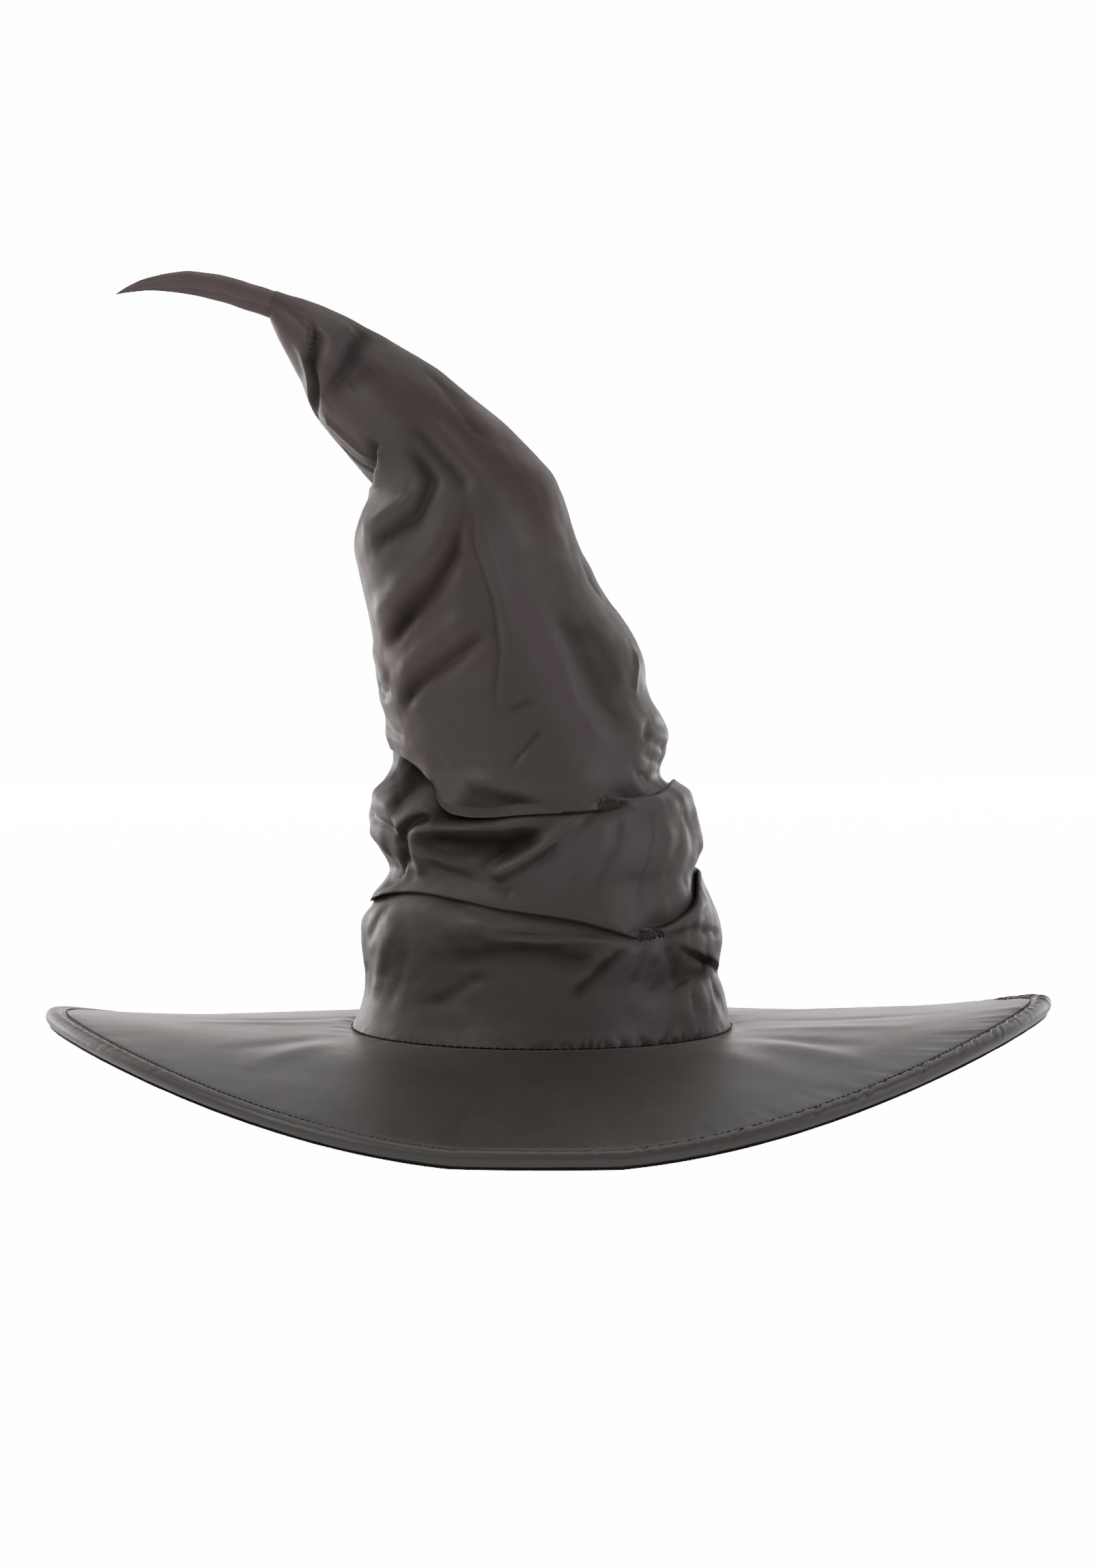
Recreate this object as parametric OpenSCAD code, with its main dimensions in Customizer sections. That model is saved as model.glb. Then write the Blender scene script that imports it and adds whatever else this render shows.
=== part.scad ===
// Soft witch hat: a stitched crown with two tacked tucks, a leaning wired peak with a
// horn-shaped tip, and a wired brim with a rolled edge.
// Origin: centre of the brim, on the surface that the hat stands on. +Z up, -Y to the front.
// The peak leans towards -X.

/* [Brim] */
// Radius of the brim to the middle of its rolled edge, at the sides
brim_r = 246; // [225:1:265]
// How far the sides of the brim stand above its front and back
brim_sweep = 20; // [14:1:24]
// How much higher the brim's right side is than halfway
brim_tilt = 3; // [0:0.5:6]
// How far the raised sides reach round towards the front
brim_swing = 12; // [0:1:14]
// Outer radius of the rolled edge
roll_r = 4; // [3.6:0.1:4.6]
// Radius of the wire in the rolled edge
brim_wire_r = 1; // [0.8:0.1:1.1]

/* [Crown] */
// Radius of the head opening, inside the sweatband
head_r = 87.5; // [84:0.5:90]
// Height of the seam between crown and brim
seam_z = 35; // [33:0.5:40]
// How far the crown stands to the right of the brim's middle
crown_x = -3.4; // [-6:0.2:6]
// Height of the sweatband
sweatband_h = 18; // [12:1:18]

/* [Peak] */
// Radius of the bendable wire in the peak
peak_wire_r = 1; // [0.8:0.1:1.1]
// Scale of the peak's thickness, front to back
peak_depth = 1; // [0.85:0.01:1.05]

/* [Hidden] */

black_satin = [0.17, 0.155, 0.145];
dark_lining = [0.10, 0.10, 0.11];
foam_grey = [0.30, 0.30, 0.31];
thread_black = [0.06, 0.06, 0.07];
wire_steel = [0.62, 0.63, 0.65];

gap = 0.1;                                // air between neighbouring layers
cloth = 0.6;
lining_t = 0.4;
stiffener_t = 0.9;
band_t = 0.6;                             // sweatband thickness
base_r = head_r + 6.9;                    // outside of the crown at the seam
hole_r = base_r + gap;                    // hole in the brim

facing_t = 1;                             // strip under the rolled edge
roll_z = roll_r + facing_t + gap;         // roll's middle above the surface it stands on
flat_lift = 1.5;                          // sweep below this lies flat on the surface
core_t = 2;
cover_t = 0.8;
mid_z = seam_z - core_t / 2 - gap - cover_t;
brim_segments = 60;
brim_rows = 4;

// Lift of the brim's edge at an azimuth: sides up, front and back down.
function edge_lift(a) =
    max(0, brim_sweep * (1 + cos(2 * a)) - brim_swing * sin(2 * a) * cos(a)
    + brim_tilt * cos(a) - flat_lift);
function edge_z(a) = roll_z + edge_lift(a);
function edge_radius(a) = brim_r - 2 * pow(sin(a), 2);
function brim_z(a, t) = mid_z + (edge_z(a) - mid_z) * pow(t, 1.3);

// A solid from rings of points joined in a closed loop, like a hollow tyre. Points before
// turned and those after it split their faces along opposite diagonals, so that the two
// sides of a layer keep the same facets.
module closed_loop(rings, turned = 1000) {
    n = len(rings[0]);
    m = len(rings);
    polyhedron(
        points = [for (ring = rings) each ring],
        faces = [
            for (i = [0 : m - 1])
                for (j = [0 : n - 1])
                    let (
                        i2 = (i + 1) % m,
                        j2 = (j + 1) % n,
                        a = i * n + j,
                        b = i * n + j2,
                        c = i2 * n + j2,
                        d = i2 * n + j
                    )
                    each (j < turned ? [[a, d, b], [b, d, c]] : [[a, d, c], [a, c, b]])
        ],
        convexity = 6
    );
}

// A solid from rings of points, closed with a flat cap at both ends.
module capped(rings) {
    n = len(rings[0]);
    m = len(rings);
    polyhedron(
        points = [for (ring = rings) each ring],
        faces = [
            [for (j = [0 : n - 1]) j],
            [for (j = [n - 1 : -1 : 0]) (m - 1) * n + j],
            for (i = [0 : m - 2])
                for (j = [0 : n - 1])
                    let (
                        j2 = (j + 1) % n,
                        a = i * n + j,
                        b = i * n + j2,
                        c = (i + 1) * n + j2,
                        d = (i + 1) * n + j
                    )
                    each [[a, d, b], [b, d, c]]
        ],
        convexity = 6
    );
}

// ---------- brim ----------

brim_end = roll_r + 0.3;                  // covers stop this far inside the edge line

function brim_point(a, t, dz) =
    let (r = hole_r + (edge_radius(a) - brim_end - hole_r) * t)
    [r * cos(a) + crown_x * (1 - t), r * sin(a), brim_z(a, t) + dz];

// One layer of the brim, between two heights above its middle surface.
module brim_layer(low, high) {
    closed_loop([
        for (k = [brim_segments - 1 : -1 : 0])
            let (a = k * 360 / brim_segments)
            [
                for (i = [0 : brim_rows]) brim_point(a, i / brim_rows, high),
                for (i = [brim_rows : -1 : 0]) brim_point(a, i / brim_rows, low)
            ]
    ], turned = brim_rows + 1);
}

module brim_core() {
    color(foam_grey) brim_layer(-core_t / 2, core_t / 2);
}

module brim_top_cover() {
    color(black_satin) brim_layer(core_t / 2 + gap, core_t / 2 + gap + cover_t);
}

module brim_underside() {
    color(black_satin) brim_layer(-core_t / 2 - gap - cover_t, -core_t / 2 - gap);
}

// A point of a section that follows the brim's edge: dr outwards, dz up.
function edge_point(a, dr, dz) =
    [(edge_radius(a) + dr) * cos(a), (edge_radius(a) + dr) * sin(a), edge_z(a) + dz];

// A C-shaped section that is open towards the crown.
function c_section(outer, inner, half_slit, steps) = [
    for (i = [0 : steps])
        let (b = -180 + half_slit + i * (360 - 2 * half_slit) / steps)
        [outer * cos(b), outer * sin(b)],
    for (i = [steps : -1 : 0])
        let (b = -180 + half_slit + i * (360 - 2 * half_slit) / steps)
        [inner * cos(b), inner * sin(b)]
];

module around_edge(section) {
    closed_loop([
        for (k = [brim_segments - 1 : -1 : 0])
            let (a = k * 360 / brim_segments)
            [for (i = [len(section) - 1 : -1 : 0]) edge_point(a, section[i][0], section[i][1])]
    ]);
}

// A rod inside the roll, beside its middle line, with its ends trim degrees short of the joint.
module rod_in_roll(r, beside, sides, trim) {
    step = 360 / brim_segments;
    capped([
        for (k = [brim_segments : -1 : 0])
            let (a = joint_azimuth + max(trim, min(360 - trim, k * step)))
            [
                for (i = [sides - 1 : -1 : 0])
                    let (b = i * 360 / sides)
                    edge_point(a, beside + r * cos(b), r * sin(b))
            ]
    ]);
}

roll_wall = 0.7;
cord_r = 1.9;
cord_beside = 1.1;                        // the cord lies outside the wire
wire_beside = cord_beside - cord_r - brim_wire_r - 0.2;
joint_azimuth = 90;                       // the wire's ends meet at the back
ferrule_l = 13;
ferrule_bore = brim_wire_r + 0.4;

module brim_edge_roll() {
    color(black_satin) around_edge(c_section(roll_r, roll_r - roll_wall, 40, 8));
}

module brim_edge_cord() {
    color(foam_grey) rod_in_roll(cord_r, cord_beside, 12, 2);
}

module brim_wire() {
    color(wire_steel) rod_in_roll(brim_wire_r, wire_beside, 8, 0.15);
}

module brim_wire_ferrule() {
    color(wire_steel)
        translate([0, edge_radius(joint_azimuth) + wire_beside, edge_z(joint_azimuth)])
            rotate([0, 90, 0])
                difference() {
                    cylinder(h = ferrule_l, r = ferrule_bore + 0.4, center = true, $fn = 32);
                    cylinder(h = ferrule_l + 1, r = ferrule_bore, center = true, $fn = 32);
                }
}

module brim_edge_facing() {
    top = -roll_r - gap;
    color(black_satin)
        around_edge([[-3, top - facing_t], [2.2, top - facing_t], [2.2, top], [-3, top]]);
}

module brim_topstitch() {
    thread_r = 0.35;
    row = 0.985;                          // how far out the stitching runs
    lift = core_t / 2 + gap + cover_t + thread_r + 0.1;
    color(thread_black)
        closed_loop([
            for (k = [brim_segments - 1 : -1 : 0])
                let (a = k * 360 / brim_segments, p = brim_point(a, row, lift))
                [
                    for (b = [300 : -60 : 0])
                        p + thread_r * [cos(b) * cos(a), cos(b) * sin(a), sin(b)]
                ]
        ]);
}

// ---------- crown ----------

// The crown's outside below the lower tuck: height above the seam, and radius less base_r.
crown_shape = [[-6, 0], [0, 0], [9, -2.8], [18, -5.2], [29, -6.8], [42, -5.2], [55, -6.2],
    [64, -9.9], [69, -15.4]];
function crown_r(h) = base_r + lookup(h, crown_shape);
stiffener_in = cloth + gap;
lining_in = stiffener_in + stiffener_t + gap;

// A revolved wall whose outside follows a list of [radius, height above the seam].
module revolved_wall(outside, thickness) {
    translate([0, 0, seam_z])
        rotate_extrude($fn = 96)
            polygon([
                each outside,
                for (i = [len(outside) - 1 : -1 : 0]) outside[i] - [thickness, 0]
            ]);
}

module sweatband() {
    color(dark_lining)
        translate([crown_x, 0, seam_z - 4.5])
            difference() {
                cylinder(h = sweatband_h, r = head_r + band_t, $fn = 96);
                translate([0, 0, -1]) cylinder(h = sweatband_h + 2, r = head_r, $fn = 96);
            }
}

module sweatband_stitching() {
    // A row of thread round the sweatband's lower edge.
    color(thread_black)
        translate([crown_x, 0, seam_z - 5])
            rotate_extrude($fn = 96) translate([head_r + 0.5, 0]) circle(r = 0.35, $fn = 16);
}

lining_rise = [[48, 82.8], [62, 77.2], [70, 71.2], [76, 69], [88, 69], [100, 70.5], [118, 57]];
lining_top_h = 116.5;

module crown_lining() {
    color(dark_lining)
        translate([crown_x, 0, 0])
            revolved_wall([
                for (h = [-3, 0, 9, 18, 29, 42]) [crown_r(h) - lining_in, h],
                for (p = lining_rise) [p[1], p[0]]
            ], lining_t);
}

module lining_top() {
    color(dark_lining)
        translate([crown_x, 0, seam_z + lining_top_h]) cylinder(h = lining_t, r = 57.3, $fn = 72);
}

module size_label() {
    // Sewn in at the back of the lining, above the sweatband.
    color("dimgray")
        translate([crown_x - 14, crown_r(29) - lining_in - 2.4, seam_z + 17]) cube([28, 0.4, 20]);
}

module crown_stiffener() {
    color(foam_grey)
        translate([crown_x, 0, 0])
            revolved_wall(
                [for (h = [-1, 0, 9, 18, 29, 40]) [crown_r(h) - stiffener_in, h]], stiffener_t
            );
}

module crown_base() {
    color(black_satin)
        translate([crown_x, 0, 0])
            revolved_wall([for (p = crown_shape) if (p[0] >= 0) [base_r + p[1], p[0]]], cloth);
}

module crown_seam_stitching() {
    color(thread_black)
        translate([crown_x, 0, seam_z + 0.5])
            rotate_extrude($fn = 96) translate([base_r + 0.6, 0]) circle(r = 0.35, $fn = 16);
}

// The hidden double layer of a tuck, as one folded ring.
module tuck(r, h, height) {
    translate([0, 0, seam_z + h])
        rotate_extrude($fn = 96)
            translate([r, 0])
                difference() {
                    hull() {
                        translate([0, 1.2]) circle(r = 1.2, $fn = 24);
                        translate([-1.6, height - 1.2]) circle(r = 1.2, $fn = 24);
                    }
                    hull() {
                        translate([0, 1.2]) circle(r = 0.6, $fn = 24);
                        translate([-1.6, height - 1.2]) circle(r = 0.6, $fn = 24);
                    }
                }
}

band_x = -7.4;                            // the band leans a little off the crown's middle
cone_x = -9;

module lower_tuck() {
    color(black_satin) translate([crown_x, 0, 0]) tuck(77, 69.8, 9);
}

module crown_band() {
    color(black_satin)
        translate([band_x, 0, 0])
            revolved_wall([
                [77, 80], [78.4, 86], [80.5, 92], [81.4, 99], [81.2, 106], [79, 114],
                [75.5, 119.5], [71, 122.5]
            ], cloth);
}

module upper_tuck() {
    color(black_satin) translate([cone_x, 0, 0]) tuck(67, 117, 9);
}

// A row of short hand stitches across a tuck, at an azimuth from the front towards +X.
module tack_row(azimuth, r, h, count) {
    pitch = 1.5;                          // degrees between stitches
    for (i = [0 : count - 1])
        rotate([0, 0, azimuth - 90 + (i - (count - 1) / 2) * pitch])
            translate([r, 0, seam_z + h]) cylinder(h = 3, r = 0.4, center = true, $fn = 16);
}

module lower_tacks() {
    color(thread_black) translate([crown_x, 0, 0]) tack_row(34, base_r - 5, 52, 7);
}

module upper_tacks() {
    color(thread_black) translate([band_x, 0, 0]) tack_row(30, 80.4, 113, 8);
}

// ---------- leaning cone, peak and tip ----------

// Stations of the cone: [x, height above the seam, half width, half depth], from the upper
// tuck to the tip.
stations = [
    [cone_x, 127, 65, 66],
    [-11, 150, 68, 67],
    [-19, 176, 66, 66],
    [-25, 200, 63, 63],
    [-34, 225, 58, 58],
    [-40, 246, 53, 54],
    [-46, 267, 46, 49],
    [-58, 286, 38, 42],
    [-73, 302, 31, 36],
    [-92, 319, 26, 30],
    [-110, 336, 19, 22],
    [-125, 350, 12, 14],
    [-136, 358, 7.4, 8],
    [-150, 363, 6.9, 7],
    [-166, 367.5, 6.4, 6.4],
    [-181, 369.5, 5.6, 5.6],
    [-196, 369, 4, 4],
    [-207, 366.5, 2.2, 2.2],
    [-214, 364, 0.9, 0.9]
];

function station_at(i) = stations[max(0, min(len(stations) - 1, i))];
function curve_through(p0, p1, p2, p3, t) =
    0.5 * (2 * p1 + (p2 - p0) * t + (2 * p0 - 5 * p1 + 4 * p2 - p3) * t * t
    + (3 * p1 - p0 - 3 * p2 + p3) * t * t * t);
function station(u) =
    let (i = floor(u), t = u - i)
    curve_through(station_at(i - 1), station_at(i), station_at(i + 1), station_at(i + 2), t);

// The cone's lean at a station. Its lowest rings lie level on the tuck.
function lean(u) =
    let (d = station(u + 0.05) - station(u - 0.05))
    atan2(d[0], d[1]) * min(1, u / 2);

// A ring of the cone at station u, set in by some thickness.
function cone_ring(u, inset, sides) =
    let (s = station(u), w = s[2] - inset, d = s[3] * peak_depth - inset)
    [
        for (k = [0 : sides - 1])
            let (b = k * 360 / sides)
            [
                s[0] + w * cos(b) * cos(lean(u)),
                d * sin(b),
                seam_z + s[1] - w * cos(b) * sin(lean(u))
            ]
    ];

// A hollow stretch of the cone between two stations.
module cone_stretch(first, last, rows, sides) {
    closed_loop([
        for (i = [0 : rows]) cone_ring(first + (last - first) * i / rows, 0, sides),
        for (i = [rows : -1 : 0]) cone_ring(first + (last - first) * i / rows, cloth, sides)
    ]);
}

// The stretches that fold when the peak or its tip is bent, and where the wire bends.
bend_from = 4.6;
bend_at = 6.3;
bend_to = 8;
tip_bend_from = 11;
tip_bend_at = 11.9;
tip_bend_to = 12.6;
split = 0.02;                             // half the gap between two stretches, in stations

module cone() {
    color(black_satin) cone_stretch(0, bend_from - split, 9, 36);
}

module cone_bend() {
    color(black_satin) cone_stretch(bend_from + split, bend_to - split, 8, 32);
}

module peak() {
    color(black_satin) cone_stretch(bend_to + split, tip_bend_from - split, 7, 28);
}

module tip_bend() {
    color(black_satin) cone_stretch(tip_bend_from + split, tip_bend_to - split, 5, 20);
}

module tip() {
    color(black_satin) cone_stretch(tip_bend_to + split, len(stations) - 1, 14, 18);
}

// ---------- bendable wire ----------

// The wire's way up inside the back of the crown and into the middle of the cone, with
// heights above the seam.
wire_route = [
    [crown_x, 83.6, 60.8], [crown_x, 82.2, 63.5], [crown_x, 78.2, 67], [crown_x, 73.5, 71],
    [crown_x, 72.4, 75], [crown_x, 72.4, 82], [crown_x, 74, 94], [crown_x, 73, 104],
    [-4.5, 67, 113], [-6, 62.6, 119], [-8, 60.6, 128], [-11, 56, 150], [-18, 47, 176],
    [-25, 36, 200], [-34, 21, 226], [-40, 8, 248]
];
anchor_r = 4.2;
tip_eye_r = 1.6;
tip_eye_at = 15.8;

function unit(v) = v / norm(v);

// A round rod along a list of points that never run straight along Y.
module rod(points, r) {
    last = len(points) - 1;
    translate([0, 0, seam_z])
        capped([
            for (i = [0 : last])
                let (
                    t = unit(points[min(last, i + 1)] - points[max(0, i - 1)]),
                    u = unit(cross([0, 1, 0], t)),
                    v = cross(t, u)
                )
                [for (b = [0 : 45 : 315]) points[i] + r * (cos(b) * u + sin(b) * v)]
        ]);
}

function axis_points(first, last, rows) = [
    for (i = [0 : rows])
        let (s = station(first + (last - first) * i / rows))
        [s[0], 0, s[1]]
];

module crown_wire() {
    color(wire_steel)
        rod([each wire_route, each axis_points(5.8, bend_at - 0.04, 2)], peak_wire_r);
}

module peak_wire() {
    color(wire_steel)
        rod(axis_points(bend_at + 0.04, tip_bend_at - 0.06, 14), peak_wire_r);
}

module tip_wire() {
    color(wire_steel)
        rod(axis_points(tip_bend_at + 0.06, tip_eye_at - 0.2, 10), peak_wire_r);
}

// A round eye that keeps a wire's end from piercing the cloth.
module wire_eye(r, rod_r) {
    rotate([90, 0, 0]) rotate_extrude($fn = 32) translate([r, 0]) circle(r = rod_r, $fn = 16);
}

module wire_anchor() {
    color(wire_steel)
        translate([crown_x, 83.8, seam_z + wire_route[0][2] - anchor_r - peak_wire_r - gap])
            wire_eye(anchor_r, peak_wire_r);
}

module wire_tip_eye() {
    s = station(tip_eye_at);
    color(wire_steel) translate([s[0], 0, seam_z + s[1]]) wire_eye(tip_eye_r, 0.7 * peak_wire_r);
}

// Cloth loops that hold the wire to the crown's back seam.
module wire_loops() {
    color(dark_lining)
        for (h = [84, 97])
            translate([crown_x, lookup(h, [[84, 72.7], [97, 73.8]]), seam_z + h])
                difference() {
                    cylinder(h = 5, r = peak_wire_r + 1.2, center = true, $fn = 24);
                    cylinder(h = 6, r = peak_wire_r + 0.6, center = true, $fn = 24);
                }
}

brim_top_cover();
brim_core();
brim_underside();
brim_edge_roll();
brim_edge_cord();
brim_wire();
brim_wire_ferrule();
brim_edge_facing();
brim_topstitch();
sweatband();
sweatband_stitching();
size_label();
crown_lining();
lining_top();
crown_stiffener();
crown_base();
crown_seam_stitching();
lower_tuck();
crown_band();
upper_tuck();
lower_tacks();
upper_tacks();
cone();
cone_bend();
crown_wire();
wire_anchor();
wire_loops();
peak();
peak_wire();
tip_bend();
tip();
tip_wire();
wire_tip_eye();
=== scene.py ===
"""Looks of the soft witch hat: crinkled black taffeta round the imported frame.

Lengths are in millimetres until a mesh is made. On the crown, angles are in degrees from its
front (-Y) towards +X, -180 to 180, and heights are above the seam between crown and brim. On
the brim, azimuths are in radians from +X, and t is the share of the way from seam to edge.
"""
import math

import bpy
import numpy as np
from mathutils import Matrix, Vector


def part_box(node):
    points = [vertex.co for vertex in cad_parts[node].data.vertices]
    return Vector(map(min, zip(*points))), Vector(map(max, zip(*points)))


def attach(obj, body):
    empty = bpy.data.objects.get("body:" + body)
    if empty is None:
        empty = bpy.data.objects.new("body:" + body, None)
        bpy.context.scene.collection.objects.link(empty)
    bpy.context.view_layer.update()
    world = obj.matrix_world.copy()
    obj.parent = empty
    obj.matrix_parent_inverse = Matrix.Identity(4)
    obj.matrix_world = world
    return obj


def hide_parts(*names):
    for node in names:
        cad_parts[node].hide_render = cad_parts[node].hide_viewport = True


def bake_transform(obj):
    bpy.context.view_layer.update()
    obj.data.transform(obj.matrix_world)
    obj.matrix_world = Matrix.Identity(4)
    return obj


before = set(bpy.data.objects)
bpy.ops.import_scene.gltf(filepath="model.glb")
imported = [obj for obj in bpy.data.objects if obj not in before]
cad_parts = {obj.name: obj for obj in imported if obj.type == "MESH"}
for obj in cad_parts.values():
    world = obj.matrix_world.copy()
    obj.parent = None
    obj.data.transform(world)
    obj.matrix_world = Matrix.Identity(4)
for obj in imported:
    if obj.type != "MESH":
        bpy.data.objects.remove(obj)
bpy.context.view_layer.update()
MM = 0.001
RNG = np.random.default_rng(7)

# ---- places from the frame

SEAM_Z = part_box("crown_seam_stitching")[0].z / MM - 0.15
CROWN_X = (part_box("sweatband")[0].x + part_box("sweatband")[1].x) / 2 / MM
BASE_R = 94.4  # outside of the crown at the seam
HOLE_R = BASE_R + 0.1  # hole in the brim
ROLL_R = 4.0
BRIM_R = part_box("brim_edge_roll")[1].x / MM - ROLL_R
ROLL_Z = 5.1  # middle of the rolled edge, where it lies flat
MID_Z = 33.1  # middle of the brim's thickness at the seam


# ---- small maths

def smooth(a, b, x):
    """0 before a, 1 after b, and smooth between them."""
    t = np.clip((np.asarray(x, float) - a) / (b - a), 0, 1)
    return t * t * (3 - 2 * t)


def hill(x, middle, half_width):
    """1 at the middle, falling smoothly to 0 on both sides."""
    return np.exp(-(((np.asarray(x, float) - middle) / half_width) ** 2))


def through(x, points):
    """A smooth curve through points (x, y), read at x."""
    xs = np.array([p[0] for p in points], float)
    ys = np.array([p[1] for p in points], float)
    slopes = np.gradient(ys, xs)
    x = np.clip(np.asarray(x, float), xs[0], xs[-1])
    i = np.clip(np.searchsorted(xs, x, side="right") - 1, 0, len(xs) - 2)
    width = xs[i + 1] - xs[i]
    t = (x - xs[i]) / width
    return (
        (2 * t**3 - 3 * t**2 + 1) * ys[i]
        + (t**3 - 2 * t**2 + t) * width * slopes[i]
        + (3 * t**2 - 2 * t**3) * ys[i + 1]
        + (t**3 - t**2) * width * slopes[i + 1]
    )


def once_round(count):
    """Angles once round a circle, in radians."""
    return np.linspace(0, 2 * math.pi, count, endpoint=False)


def angles_round(count):
    """Angles once round the crown, in degrees from the front."""
    return np.linspace(-180, 180, count, endpoint=False)


def turned(r, a, z, x=0):
    """Points at a radius and an azimuth a in radians round the upright line at x."""
    return np.stack(np.broadcast_arrays(x + r * np.cos(a), r * np.sin(a), z), -1)


class Waves:
    """Smooth random waves through space, in millimetres, from a sum of sines."""

    def __init__(self, shortest, longest, count):
        length = np.exp(RNG.uniform(math.log(shortest), math.log(longest), count))
        heading = RNG.normal(size=(count, 3))
        heading /= np.linalg.norm(heading, axis=1)[:, None]
        self.k = heading * (2 * math.pi / length)[:, None]
        self.phase = RNG.uniform(0, 2 * math.pi, count)
        self.size = length / longest

    def __call__(self, x, y, z):
        total = np.zeros(np.broadcast(x, y, z).shape)
        for (kx, ky, kz), phase, size in zip(self.k, self.phase, self.size):
            total += size * np.sin(kx * x + ky * y + kz * z + phase)
        return total / math.sqrt(len(self.k))


# ---- meshes

def add_mesh(name, points, faces, material):
    """A piece from points in millimetres, in an array of any shape that ends in x, y, z."""
    mesh = bpy.data.meshes.new(name)
    mesh.from_pydata((np.reshape(points, (-1, 3)) * MM).tolist(), [], faces)
    mesh.update()
    obj = bpy.data.objects.new(name, mesh)
    bpy.context.collection.objects.link(obj)
    mesh.materials.append(material)
    mesh.shade_smooth()
    return obj


def grid_faces(rows, columns, closed, solid=False):
    """Faces of a grid of points. solid also joins the last row to the first."""
    faces = []
    for i in range(rows if solid else rows - 1):
        up = (i + 1) % rows
        for j in range(columns if closed else columns - 1):
            k = (j + 1) % columns
            faces.append((i * columns + j, i * columns + k, up * columns + k, up * columns + j))
    return faces


def add_grid(name, xyz, material, closed=True, uv=None, solid=False):
    """A sheet from points [row, column, 3], with its place in the weave as UVs in metres."""
    obj = add_mesh(name, xyz, grid_faces(*xyz.shape[:2], closed, solid), material)
    if uv is not None:
        index = np.empty(len(obj.data.loops), int)
        obj.data.loops.foreach_get("vertex_index", index)
        flat = np.column_stack([np.ravel(grid) for grid in uv])[index]
        obj.data.uv_layers.new(name="cloth").data.foreach_set("uv", flat.ravel())
    return obj


def write_attribute(obj, attribute, values):
    """Gives a piece a value from 0 to 1 at each of its points."""
    layer = obj.data.attributes.new(attribute, "FLOAT", "POINT")
    layer.data.foreach_set("value", values.ravel().astype(np.float32))


def rod_faces(rings, sides):
    """Faces of a rod of rings of points, closed at both ends."""
    last = (rings - 1) * sides
    ends = [tuple(range(sides - 1, -1, -1)), tuple(range(last, last + sides))]
    return grid_faces(rings, sides, True) + ends


THREAD_SIDES = 5


def add_thread(name, path, radius):
    """A length of thread along a path [n, 3] in millimetres."""
    ahead = np.roll(path, -1, 0) - np.roll(path, 1, 0)
    ahead[0] = path[1] - path[0]
    ahead[-1] = path[-1] - path[-2]
    ahead /= np.linalg.norm(ahead, axis=1)[:, None]
    side = np.cross(ahead, [0.13, 0.21, 0.97])
    side /= np.linalg.norm(side, axis=1)[:, None]
    up = np.cross(side, ahead)
    b = once_round(THREAD_SIDES)[None, :, None]
    ring = (side[:, None] * np.cos(b) + up[:, None] * np.sin(b)) * radius
    return add_mesh(name, path[:, None] + ring, rod_faces(len(path), THREAD_SIDES), THREAD)


def joined(name, objects):
    """Joins several meshes into one piece."""
    bpy.ops.object.select_all(action="DESELECT")
    for obj in objects:
        obj.select_set(True)
    bpy.context.view_layer.objects.active = objects[0]
    bpy.ops.object.join()
    objects[0].name = name
    objects[0].data.name = name
    return objects[0]


# ---- materials

def settle(node, **values):
    """Sets a node's sockets by name, with _ for a space: a constant, or a socket to link."""
    for name, value in values.items():
        socket = node.inputs[name.replace("_", " ")]
        if isinstance(value, bpy.types.NodeSocket):
            node.id_data.links.new(value, socket)
        else:
            socket.default_value = value


def new_material(name):
    material = bpy.data.materials.new(name)
    material.use_nodes = True
    tree = material.node_tree
    place = tree.nodes.new("ShaderNodeTexCoord")
    return material, tree, tree.nodes["Principled BSDF"], place.outputs


def noise(tree, vector, scale, detail=3.0, rough=0.55):
    node = tree.nodes.new("ShaderNodeTexNoise")
    settle(node, Vector=vector, Scale=scale, Detail=detail, Roughness=rough)
    return node.outputs["Fac"]


def ramp(tree, value, stops):
    """Colours along a value, from stops of a place and a colour."""
    node = tree.nodes.new("ShaderNodeValToRGB")
    elements = node.color_ramp.elements
    elements[0].position, elements[-1].position = stops[0][0], stops[-1][0]
    for position, _ in stops[1:-1]:
        elements.new(position)
    for element, (_, colour) in zip(elements, stops):
        element.color = (*colour, 1)
    settle(node, Fac=value)
    return node.outputs["Color"]


def weave_waves(tree, vector, along, per_metre):
    """Fine ribs of thread across the cloth."""
    node = tree.nodes.new("ShaderNodeTexWave")
    node.wave_type = "BANDS"
    node.bands_direction = along
    settle(node, Vector=vector, Scale=per_metre * math.pi / 10, Distortion=0.6, Detail=2.0,
           Detail_Scale=3.0)
    return node.outputs["Fac"]


def maths(tree, operation, a, b):
    node = tree.nodes.new("ShaderNodeMath")
    node.operation = operation
    for socket, value in zip(node.inputs, (a, b)):
        if isinstance(value, (int, float)):
            socket.default_value = value
        else:
            tree.links.new(value, socket)
    return node.outputs[0]


def plus(tree, a, b, share):
    """a + share * b."""
    return maths(tree, "ADD", a, maths(tree, "MULTIPLY", b, share))


def bump(tree, height, strength, distance):
    """A bump of a real depth in metres."""
    node = tree.nodes.new("ShaderNodeBump")
    settle(node, Height=height, Strength=strength, Distance=distance)
    return node


def piece_value(tree, attribute):
    """A value from 0 to 1 that a piece carries at its points; 0 where it has none."""
    reader = tree.nodes.new("ShaderNodeAttribute")
    reader.attribute_name = attribute
    return reader.outputs["Fac"]


def cast_over(tree, below, attribute, colour):
    """Blends a colour over another by a value that the piece carries."""
    mix = tree.nodes.new("ShaderNodeMix")
    mix.data_type = "RGBA"
    settle(mix, Factor=piece_value(tree, attribute), A=below, B=(*colour, 1))
    return mix.outputs["Result"]


RIBS_PER_METRE = 1400


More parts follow.
